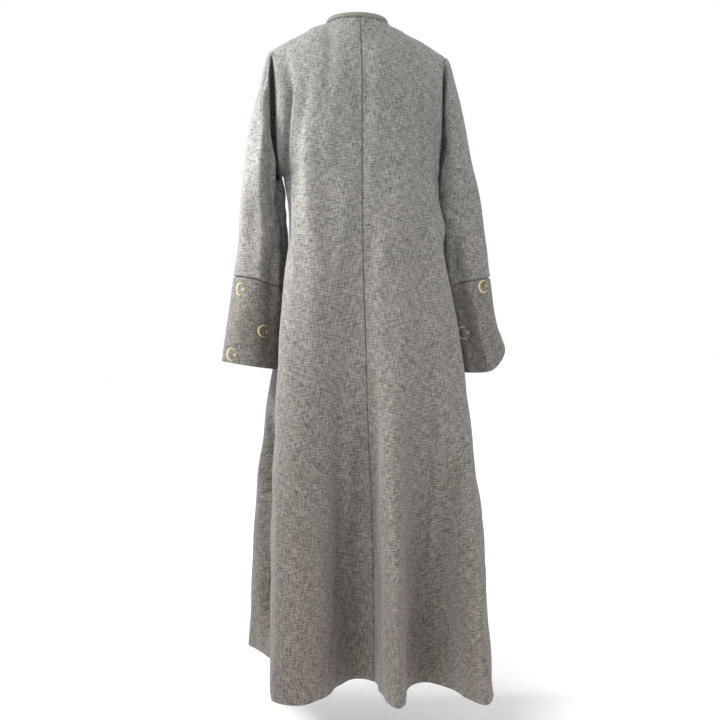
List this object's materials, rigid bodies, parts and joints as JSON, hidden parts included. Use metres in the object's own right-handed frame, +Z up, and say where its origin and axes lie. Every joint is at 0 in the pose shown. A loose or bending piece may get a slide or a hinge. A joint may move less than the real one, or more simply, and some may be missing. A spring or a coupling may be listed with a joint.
{
  "type": "kaftan",
  "caption": "Floor-length A-line kaftan with long sleeves, deep cuffs and a narrow neck band, open down the front, shown worn and hollow.",
  "frame": {"origin": "middle of the neck opening, level with the neck points where the garment rests on the shoulders", "axes": "+Z up along the body, the front faces -Y, +X towards the wearer's left"},
  "size_m": [0.6299, 0.495, 1.4207],
  "materials": {
    "body_cloth": "heathered linen-look weave, matte",
    "cuff_cloth": "heathered linen-look weave, darker and browner, matte",
    "band_cloth": "plain binding, matte"
  },
  "bodies": {
    "root": {"back_left": "body_cloth", "back_right": "body_cloth", "front_left": "body_cloth", "front_right": "body_cloth", "sleeve_left": "body_cloth", "sleeve_right": "body_cloth", "cuff_left": "cuff_cloth", "cuff_right": "cuff_cloth", "neck_band": "band_cloth"}
  },
  "joints": []
}
